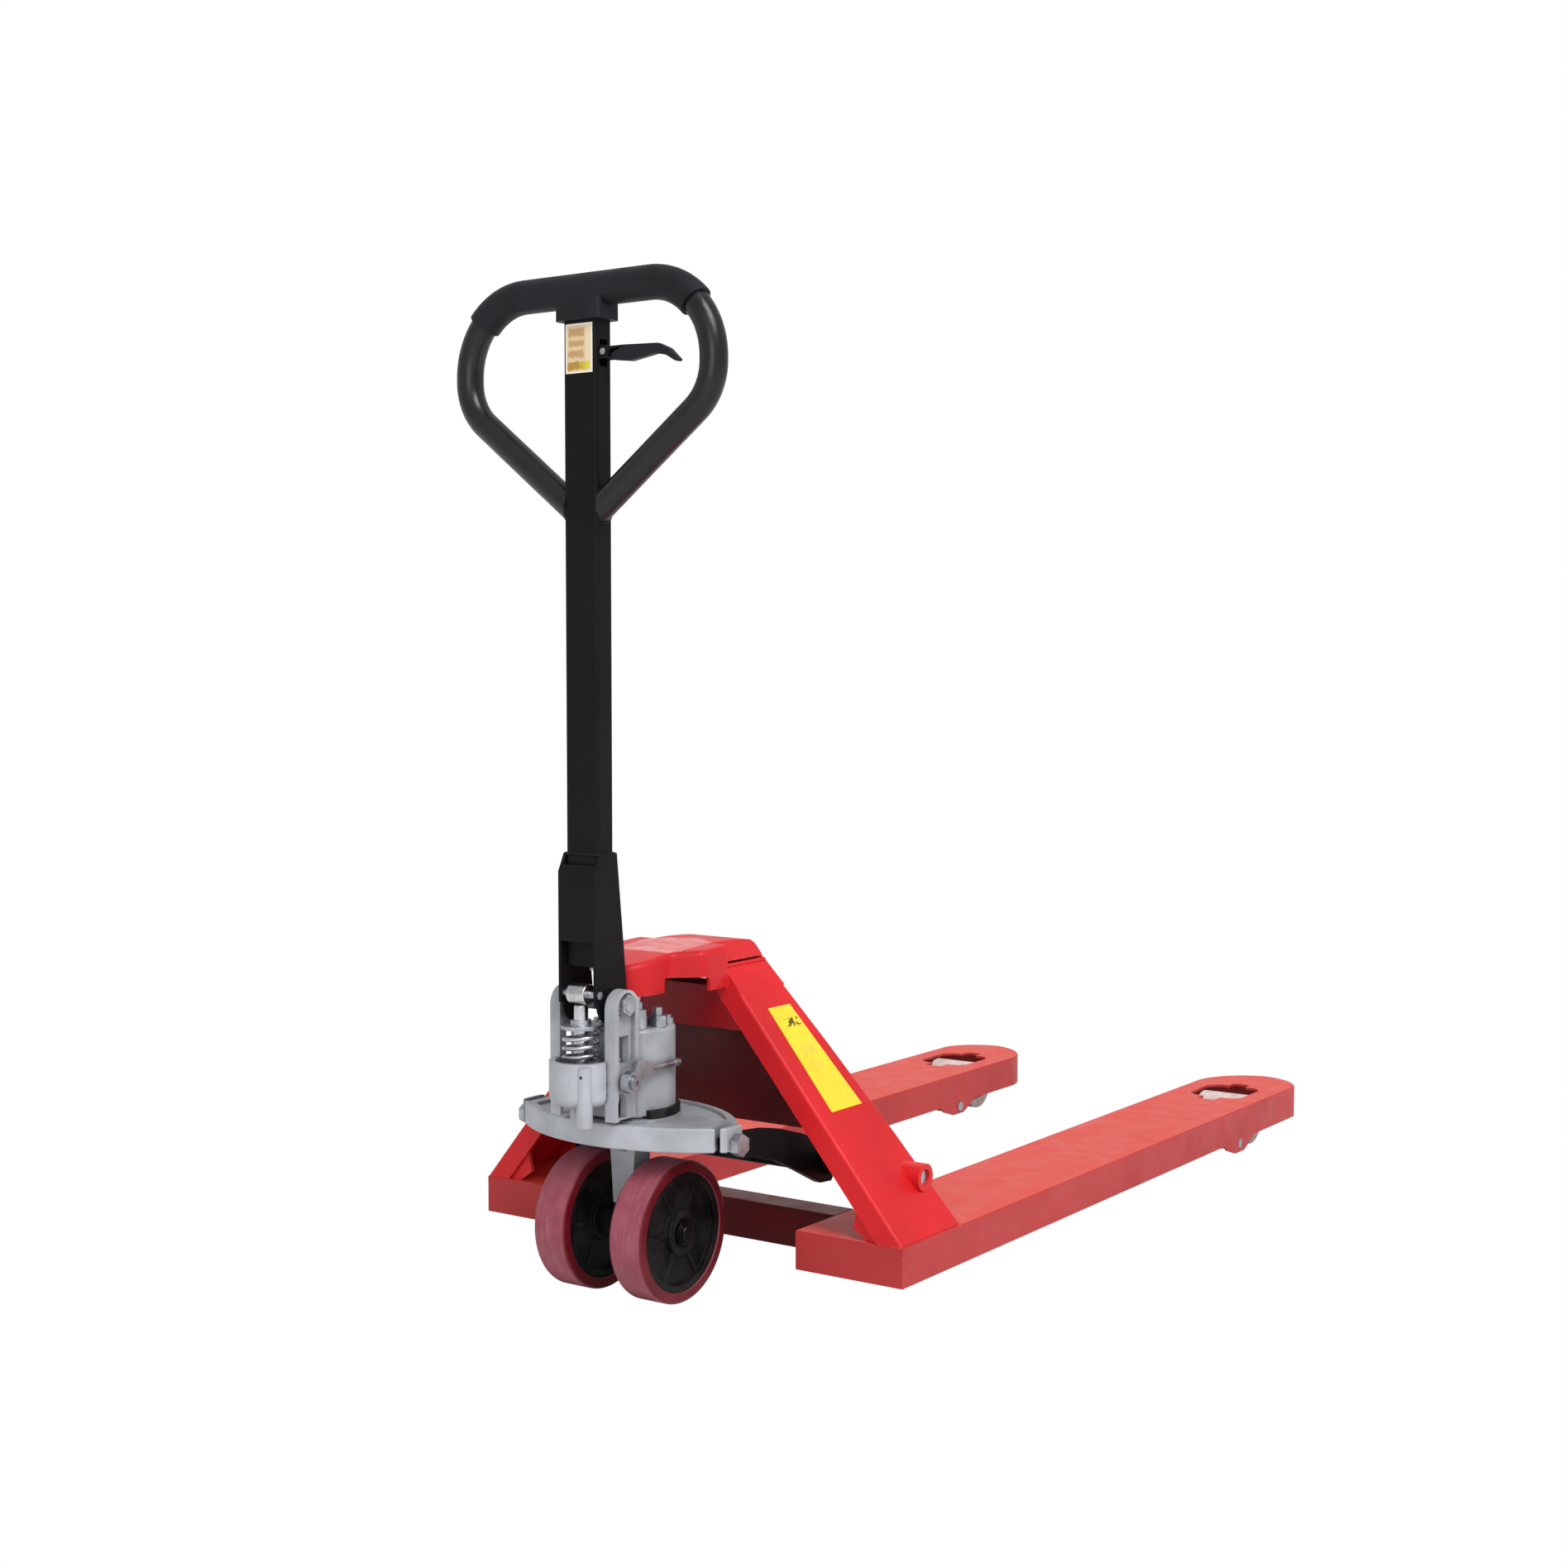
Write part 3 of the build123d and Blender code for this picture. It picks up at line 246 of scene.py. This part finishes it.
def wheel_tread():
    """Polyurethane tyre: crimson at its sides, dusty and finely scuffed where it rolls."""
    s = Shader("wheel_tread")
    across = s.math("ABSOLUTE", s.axis(s.normal(), "X"))
    rolling = s.ramp(across, 0.25, 0.8, 1.0, 0.0)
    side = s.mix(s.ramp(s.noise(18.0), 0.35, 0.65), srgb("560b16"), srgb("6c121f"))
    dusty = s.mix(s.ramp(s.noise(26.0, 5.0, 0.6), 0.3, 0.7), srgb("86394a"), srgb("98505c"))
    scuffs = s.noise(1.0, 5.0, 0.7, s.stretched((260.0, 26.0, 26.0)))
    dusty = s.mix(s.ramp(scuffs, 0.5, 0.72, 0.0, 0.5), dusty, srgb("ad7378"))
    grit = s.math("LESS_THAN", s.cells(420.0), 0.09)
    dusty = s.mix(s.math("MULTIPLY", grit, 0.45), dusty, srgb("5b3034"))
    s.bump(s.noise(300.0, 4.0), 0.16, 0.0005)
    return s.finish(s.mix(rolling, side, dusty), s.ramp(rolling, 0.0, 1.0, 0.34, 0.62), specular=0.3)


def cast_hub():
    """Black enamelled casting with a film of greenish dust."""
    s = Shader("cast_hub")
    dust = s.ramp(s.noise(24.0, 5.0, 0.6), 0.42, 0.72)
    colour = s.mix(s.math("MULTIPLY", dust, 0.55), srgb("0f0f11"), srgb("2c2c27"))
    pale_edges = s.math("MULTIPLY", s.edges(0.0016), s.ramp(s.noise(110.0, 4.0), 0.5, 0.64))
    colour = s.mix(s.math("MULTIPLY", pale_edges, 0.5), colour, srgb("6b6a66"))
    sand = s.math("ADD", s.noise(240.0, 4.0, 0.65), s.noise(60.0, 2.0))
    s.bump(sand, 0.22, 0.0008)
    return s.finish(colour, s.ramp(dust, 0.0, 1.0, 0.34, 0.62), specular=0.14)


def roller_tread():
    """Cast nylon load roller, yellowed and scuffed round its face."""
    s = Shader("roller_tread")
    colour = s.mix(s.ramp(s.noise(30.0, 4.0), 0.3, 0.7), srgb("cdb3ad"), srgb("e2d2cc"))
    scuffs = s.noise(1.0, 5.0, 0.7, s.stretched((300.0, 30.0, 30.0)))
    colour = s.mix(s.ramp(scuffs, 0.52, 0.74, 0.0, 0.7), colour, srgb("8e7672"))
    s.bump(scuffs, 0.2, 0.0004)
    return s.finish(colour, 0.42, specular=0.4)


def black_plastic():
    """Moulded cover: fine spark-erosion grain, paler where hands rub it."""
    s = Shader("black_plastic")
    colour = s.mix(s.ramp(s.noise(12.0, 3.0), 0.35, 0.7), srgb("17181b"), srgb("202126"))
    rubbed = s.math("MULTIPLY", s.edges(0.003), s.ramp(s.noise(40.0), 0.4, 0.65))
    colour = s.mix(s.math("MULTIPLY", rubbed, 0.4), colour, srgb("45464d"))
    grain = s.math("ADD", s.cells(1500.0), s.noise(1100.0, 2.0))
    s.bump(grain, 0.25, 0.0003)
    return s.finish(colour, s.ramp(s.noise(30.0), 0.3, 0.7, 0.42, 0.58), specular=0.18)


def rubber():
    s = Shader("rubber")
    colour = s.mix(s.ramp(s.noise(60.0, 5.0), 0.45, 0.7), srgb("141414"), srgb("34312e"))
    s.bump(s.noise(500.0, 3.0), 0.2, 0.0004)
    return s.finish(colour, 0.72, specular=0.2)


def hood_paint():
    """The legs' enamel, with a worn pale decal on the hood's crown."""
    # its lighter top colour is a painted highlight on the hood's upward faces
    material = red_paint("red_hood", "cf2026", "bd1a20", "da3437")
    s = Shader.reopen(material)
    low, high = (Vector(v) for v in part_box("hood"))
    x, y = s.axis(s.position, "X"), s.axis(s.position, "Y")
    wobble = s.math("MULTIPLY", s.math("SUBTRACT", s.noise(45.0, 3.0), 0.5), 0.012)
    wide = s.math("ADD", s.math("ABSOLUTE", x), wobble)
    along = s.math("ADD", y, wobble)
    front = s.ramp(along, low.y + 0.070, low.y + 0.074)
    inside = s.math("MULTIPLY", s.ramp(wide, 0.046, 0.049, 1.0, 0.0), front)
    # its rear edge runs to a point
    tail = s.math("ADD", along, s.math("MULTIPLY", s.math("ABSOLUTE", x), 0.7))
    inside = s.math("MULTIPLY", inside, s.ramp(tail, high.y - 0.056, high.y - 0.052, 1.0, 0.0))
    inside = s.math("MULTIPLY", inside, s.ramp(s.axis(s.normal(), "Z"), 0.85, 0.95))
    print_wear = s.ramp(s.noise(38.0, 5.0, 0.7), 0.36, 0.62, 0.35, 0.85)
    paint = s.surface.inputs["Base Color"].links[0].from_socket
    rough = s.surface.inputs["Roughness"].links[0].from_socket
    colour = s.mix(s.math("MULTIPLY", inside, print_wear), paint, srgb("f0a6a4"))
    return s.finish(colour, rough, specular=0.22, coat=0.06, coat_rough=0.3)


def within(s, value, low, high, soft):
    """1 where the value lies between two limits, with soft ends."""
    above = s.ramp(value, low - soft, low + soft)
    below = s.ramp(value, high - soft, high + soft, 1.0, 0.0)
    return s.math("MULTIPLY", above, below)


def leg_sticker():
    """Yellow sticker: a line of small dark marks near its top, a faint grey block half-way, dirty rim."""
    s = Shader("yellow_label")
    low, high = (Vector(v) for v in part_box("leg_label"))
    u = s.ramp(s.axis(s.position, "Y"), low.y, high.y)
    v = s.ramp(s.axis(s.position, "Z"), low.z, high.z)
    colour = s.mix(s.ramp(s.noise(22.0, 4.0), 0.3, 0.7), srgb("efc628"), srgb("f3d938"))
    blots = s.ramp(s.noise(1.0, 2.0, 0.5, s.stretched((150.0, 150.0, 90.0))), 0.50, 0.56)
    marks = s.math("MULTIPLY", within(s, u, 0.30, 0.72, 0.02), within(s, v, 0.80, 0.88, 0.01))
    colour = s.mix(s.math("MULTIPLY", marks, s.math("MULTIPLY", blots, 0.9)), colour, srgb("2b2412"))
    faint = s.math("MULTIPLY", within(s, u, 0.22, 0.66, 0.04), within(s, v, 0.36, 0.62, 0.03))
    colour = s.mix(s.math("MULTIPLY", faint, s.math("MULTIPLY", blots, 0.35)), colour, srgb("b8a65a"))
    grime = s.math("MULTIPLY", s.ramp(s.noise(120.0, 5.0, 0.7), 0.58, 0.72), 0.22)
    colour = s.mix(grime, colour, srgb("8a7a42"))
    s.bump(s.noise(160.0, 3.0), 0.12, 0.0002)
    return s.finish(colour, s.ramp(s.noise(50.0), 0.3, 0.7, 0.34, 0.5), specular=0.3)


def handle_sticker():
    """Cream sticker with a white rim, three tan panels and a panel that fades from brown to yellow."""
    s = Shader("cream_label")
    low, high = (Vector(v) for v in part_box("handle_label"))
    u = s.ramp(s.axis(s.position, "X"), low.x, high.x)
    v = s.ramp(s.axis(s.position, "Z"), low.z, high.z)
    ragged = s.math("MULTIPLY", s.math("SUBTRACT", s.noise(210.0, 4.0), 0.5), 0.14)
    u_rough = s.math("ADD", u, ragged)
    v_rough = s.math("ADD", v, ragged)
    field = s.math("MULTIPLY", within(s, u, 0.05, 0.95, 0.01), within(s, v, 0.035, 0.965, 0.01))
    colour = s.mix(field, srgb("ece6da"), srgb("dcc096"))
    pale = s.math("MULTIPLY", within(s, u, 0.74, 0.95, 0.06), field)
    colour = s.mix(s.math("MULTIPLY", pale, 0.5), colour, srgb("e8dcc6"))
    for base, top in ((0.74, 0.90), (0.54, 0.66), (0.32, 0.45)):
        panel = s.math("MULTIPLY", within(s, u_rough, 0.10, 0.70, 0.03), within(s, v_rough, base, top, 0.02))
        colour = s.mix(s.math("MULTIPLY", panel, 0.8), colour, srgb("b68a5c"))
    strip = s.math("MULTIPLY", within(s, u_rough, 0.07, 0.92, 0.02), within(s, v_rough, 0.07, 0.23, 0.015))
    colour = s.mix(strip, colour, s.mix(s.ramp(u, 0.45, 0.85), srgb("b18a3e"), srgb("d3ca3c")))
    s.bump(s.noise(160.0, 3.0), 0.12, 0.0002)
    return s.finish(colour, s.ramp(s.noise(50.0), 0.3, 0.7, 0.34, 0.5), specular=0.3)


def weld_metal(name, tone, crest):
    """Painted weld: fine ripples with paint rubbed thin on their crests."""
    s = Shader(name)
    colour = s.mix(s.ramp(s.noise(180.0, 4.0), 0.35, 0.65), srgb(tone), srgb(crest))
    s.bump(s.noise(350.0, 3.0), 0.2, 0.0005)
    return s.finish(colour, s.ramp(s.noise(90.0), 0.3, 0.7, 0.36, 0.55), specular=0.2)


MATERIALS = {
    # the last colour of each red paint is the painted highlight on its upward faces
    "red_paint": red_paint("red_paint", "d61f24", "c4191f", "dc3a34"),
    "red_fork": red_paint("red_fork", "b63636", "aa2e2e", "e0473a", scratched=True),
    # painted shade: the same red paint darkened as it looks in shade for the backrest plate and cross beam,
    # and less darkened for the neck plate
    "red_paint_painted_shade": red_paint("red_paint_painted_shade", "5e1719", "4c1216", "7a1c20"),
    "red_paint_less_painted_shade": red_paint("red_paint_less_painted_shade", "94131b", "860f18", "a01a20"),
    "red_hood": hood_paint(),
    "black_paint": black_paint("black_paint", "101011", "161618", 0.1),
    "black_gloss": black_paint("black_gloss", "0e0e10", "151518", 0.42, 0.22),
    "silver_paint": silver_paint(),
    "zinc": plated_steel("zinc", "c6c9ce", "8f9398", 0.34),
    "blackened_steel": plated_steel("blackened_steel", "3c3c40", "1d1d20", 0.34),
    "bright_steel": plated_steel("bright_steel", "e6e6e8", "a9aaae", 0.18),
    "spring_steel": plated_steel("spring_steel", "e3e6ea", "94979c", 0.22),
    "cast_hub": cast_hub(),
    "wheel_tread": wheel_tread(),
    "roller_tread": roller_tread(),
    "black_plastic": black_plastic(),
    "rubber": rubber(),
    "yellow_label": leg_sticker(),
    "cream_label": handle_sticker(),
}


# ---- finish of the CAD nodes ----------------------------------------------------------------
SHARP_ANGLE = math.radians(38)
EDGE_WIDTH = {"fork_left": 1.6, "fork_right": 1.6, "leg_left": 1.6, "leg_right": 1.6, "hood": 3.0,
              "bearing_plate": 2.5, "pump_casting": 2.0, "handle_ears": 2.0, "rocker_frame": 1.8,
              "handle_foot": 1.4, "handle_shaft": 1.2, "control_lever": 2.2, "plunger_spring": 0.0,
              "handle_loop": 0.4, "leg_label": 0.1, "handle_label": 0.1}


def soften(node):
    """Round a CAD node's sharp edges by its real edge radius, with modifiers only."""
    o = NODES[node]
    if "custom_normal" in o.data.attributes:
        o.data.attributes.remove(o.data.attributes["custom_normal"])
    weld = o.modifiers.new("weld", "WELD")
    weld.merge_threshold = 0.00001
    width = EDGE_WIDTH.get(node, 0.6) * MM
    if width:
        bevel = o.modifiers.new("edges", "BEVEL")
        bevel.width = width
        bevel.segments = 2
        bevel.limit_method = "ANGLE"
        bevel.angle_limit = SHARP_ANGLE
        bevel.use_clamp_overlap = True
        bevel.miter_outer = "MITER_ARC"
        o.modifiers.new("shading", "WEIGHTED_NORMAL").keep_sharp = False


def dress_cad_nodes():
    slots = {row["node"]: row["material_slot"] for row in frame["record"]["subparts"]}
    # the backrest plate and cross beam take the red paint with painted shade, the neck plate the copy with
    # less painted shade
    special = {"fork_left": "red_fork", "fork_right": "red_fork", "backrest_plate": "red_paint_painted_shade",
               "cross_beam": "red_paint_painted_shade",
               "neck_plate": "red_paint_less_painted_shade", "hood": "red_hood", "handle_loop": "black_gloss",
               "steer_axle": "blackened_steel", "axle_rings": "blackened_steel",
               "wheel_bearings_left": "blackened_steel", "wheel_bearings_right": "blackened_steel"}
    for node, o in NODES.items():
        material = MATERIALS[special.get(node, slots[node])]
        o.data.materials.clear()
        o.data.materials.append(material)
        for polygon in o.data.polygons:
            polygon.use_smooth = True
        soften(node)


# ---- camera, light and floor ----------------------------------------------------------------
SUN_STRENGTH = 2.0
WORLD_STRENGTH = 0.62
FRONT_POWER = 22.0
FLOOR_RADIUS = 40.0
DOME_RADIUS = 45.0


def camera():
    data = bpy.data.cameras.new("camera")
    data.sensor_width = 36.0
    data.lens = 50.83
    data.clip_end = 100.0
    o = bpy.data.objects.new("camera", data)
    bpy.context.scene.collection.objects.link(o)
    azimuth = math.radians(34.82)
    drop = math.radians(3.25)
    aim = Vector((-math.sin(azimuth) * math.cos(drop), math.cos(azimuth) * math.cos(drop), -math.sin(drop)))
    o.location = (1.7581, -2.8300, 0.8111)
    o.rotation_euler = aim.to_track_quat("-Z", "Y").to_euler()
    bpy.context.scene.camera = o


def softbox(name, place, target, size, power):
    data = bpy.data.lights.new(name, "AREA")
    data.shape = "RECTANGLE"
    data.size, data.size_y = size
    data.energy = power
    o = bpy.data.objects.new(name, data)
    o.location = place
    o.rotation_euler = (Vector(target) - Vector(place)).to_track_quat("-Z", "Y").to_euler()
    bpy.context.scene.collection.objects.link(o)


def key_sun():
    data = bpy.data.lights.new("key_sun", "SUN")
    data.energy = SUN_STRENGTH
    data.angle = math.radians(28)
    o = bpy.data.objects.new("key_sun", data)
    o.rotation_euler = (-Vector((3.0, -1.4, 3.6))).to_track_quat("-Z", "Y").to_euler()
    bpy.context.scene.collection.objects.link(o)


def stage_mesh(name, build, material):
    mesh = bpy.data.meshes.new(name)
    bm = bmesh.new()
    build(bm)
    bm.to_mesh(mesh)
    bm.free()
    o = bpy.data.objects.new(name, mesh)
    bpy.context.scene.collection.objects.link(o)
    mesh.materials.append(material)
    return o


def studio():
    world = bpy.data.worlds.new("studio")
    world.use_nodes = True
    world.node_tree.nodes["Background"].inputs["Color"].default_value = (1.0, 1.0, 1.0, 1.0)
    world.node_tree.nodes["Background"].inputs["Strength"].default_value = WORLD_STRENGTH
    bpy.context.scene.world = world
    key_sun()
    softbox("front", (1.6, -4.0, 1.6), (0.0, -0.4, 0.5), (1.8, 1.8), FRONT_POWER)
    # the paper under the jack gives bounce light, the white dome is what stands behind it
    s = Shader("floor_paper")
    paper = s.finish(s.mix(s.noise(3.0), (0.78, 0.78, 0.78, 1), (0.82, 0.82, 0.82, 1)), 0.9, specular=0.1)
    floor = stage_mesh("studio_floor", lambda bm: bmesh.ops.create_circle(
        bm, cap_ends=True, segments=96, radius=FLOOR_RADIUS), paper)
    floor.visible_camera = False
    white = bpy.data.materials.new("backdrop_white")
    white.use_nodes = True
    white.node_tree.nodes.clear()
    glow = white.node_tree.nodes.new("ShaderNodeEmission")
    out = white.node_tree.nodes.new("ShaderNodeOutputMaterial")
    white.node_tree.links.new(glow.outputs[0], out.inputs[0])
    dome = stage_mesh("studio_dome", lambda bm: bmesh.ops.create_icosphere(
        bm, subdivisions=4, radius=DOME_RADIUS), white)
    dome.visible_diffuse = dome.visible_glossy = dome.visible_transmission = dome.visible_shadow = False
    bpy.context.scene.view_settings.view_transform = "Standard"
    bpy.context.scene.view_settings.look = "None"


# ---- welds ----------------------------------------------------------------------------------
BEAD_SIDES = 8
BEAD_PITCH = 0.0032
JOINT_Z = 0.998            # height at which the loop's tubes meet the shaft
JOINT_SLOPE = 0.766        # rise over run of the tubes there
TUBE_R = 0.017
JOINT_DEPTH = 0.0150       # half depth of the weld across the shaft
JOINT_POINTS = 28


def side_name(side):
    return "right" if side > 0 else "left"


def bead(name, points, radius, body, material, closed=False):
    """A weld bead along a path: a rippled tube, necked once per pitch."""
    path = [Vector(p) for p in points]
    if closed:
        path.append(path[0])
    stations = []
    for a, b in zip(path, path[1:]):
        steps = max(2, int((b - a).length / (BEAD_PITCH / 3)))
        stations += [a.lerp(b, i / steps) for i in range(steps)]
    stations.append(path[-1])
    bm = bmesh.new()
    rings = []
    for i, here in enumerate(stations):
        ahead = stations[min(i + 1, len(stations) - 1)]
        behind = stations[max(i - 1, 0)]
        turn = (ahead - behind).to_track_quat("Z", "X").to_matrix()
        r = radius * (1.0 if i % 3 else 0.84) * random.uniform(0.93, 1.0)
        if not closed and i in (0, len(stations) - 1):
            r *= 0.4
        rings.append([bm.verts.new(here + turn @ Vector((r * math.cos(t), r * math.sin(t), 0)))
                      for t in (math.tau * k / BEAD_SIDES for k in range(BEAD_SIDES))])
    for a, b in zip(rings, rings[1:]):
        for k in range(BEAD_SIDES):
            n = (k + 1) % BEAD_SIDES
            bm.faces.new((a[k], a[n], b[n], b[k]))
    if not closed:
        bm.faces.new(reversed(rings[0]))
        bm.faces.new(rings[-1])
    mesh = bpy.data.meshes.new(name)
    bm.to_mesh(mesh)
    bm.free()
    for polygon in mesh.polygons:
        polygon.use_smooth = True
    o = bpy.data.objects.new(name, mesh)
    bpy.context.scene.collection.objects.link(o)
    mesh.materials.append(material)
    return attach(o, body)


def welds():
    red = weld_metal("red_weld", "a81a1e", "c22a2c")
    seam = weld_metal("seam_weld", "cc2024", "d8282c")
    black = weld_metal("black_weld", "0e0e0f", "1a1a1c")
    leg_low, leg_high = (Vector(v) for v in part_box("leg_right"))
    for side in (-1, 1):
        x = side * (leg_high.x - 0.002)
        bead("leg_weld_" + side_name(side),
             [(x, leg_low.y + 0.003, leg_low.z + 0.001), (x, leg_high.y - 0.006, leg_low.z + 0.001)],
             0.0026, "chassis", red)
    # the leg's top edge, where it is welded along the hood
    corners = [v.co for v in NODES["leg_right"].data.vertices if v.co.z > leg_high.z - 0.0012]
    outer = max(c.x for c in corners)
    edge = [c.y for c in corners if c.x > outer - 0.002]
    for side in (-1, 1):
        x = side * (outer - 0.0005)
        bead("hood_weld_" + side_name(side),
             [(x, min(edge) + 0.002, leg_high.z), (x, max(edge) - 0.002, leg_high.z)],
             0.0028, "chassis", seam)
    foot_low, foot_high = (Vector(v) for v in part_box("handle_foot"))
    shaft_low, shaft_high = (Vector(v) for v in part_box("handle_shaft"))
    z = foot_high.z - 0.001
    bead("foot_weld", [(shaft_low.x, shaft_low.y, z), (shaft_high.x, shaft_low.y, z),
                       (shaft_high.x, shaft_high.y, z), (shaft_low.x, shaft_high.y, z)],
         0.0020, "handle", black, closed=True)
    # the loop's two tubes meet the shaft's sides
    mid_y = (shaft_low.y + shaft_high.y) / 2
    height = TUBE_R * math.sqrt(1 + JOINT_SLOPE * JOINT_SLOPE)
    for side in (-1, 1):
        x = side * shaft_high.x
        angles = [math.tau * k / JOINT_POINTS for k in range(JOINT_POINTS)]
        ring = [(x, mid_y + JOINT_DEPTH * math.cos(t), JOINT_Z + height * math.sin(t)) for t in angles]
        bead("loop_weld_" + side_name(side), ring, 0.0024, "handle",
             black, closed=True)


dress_cad_nodes()
welds()
camera()
studio()
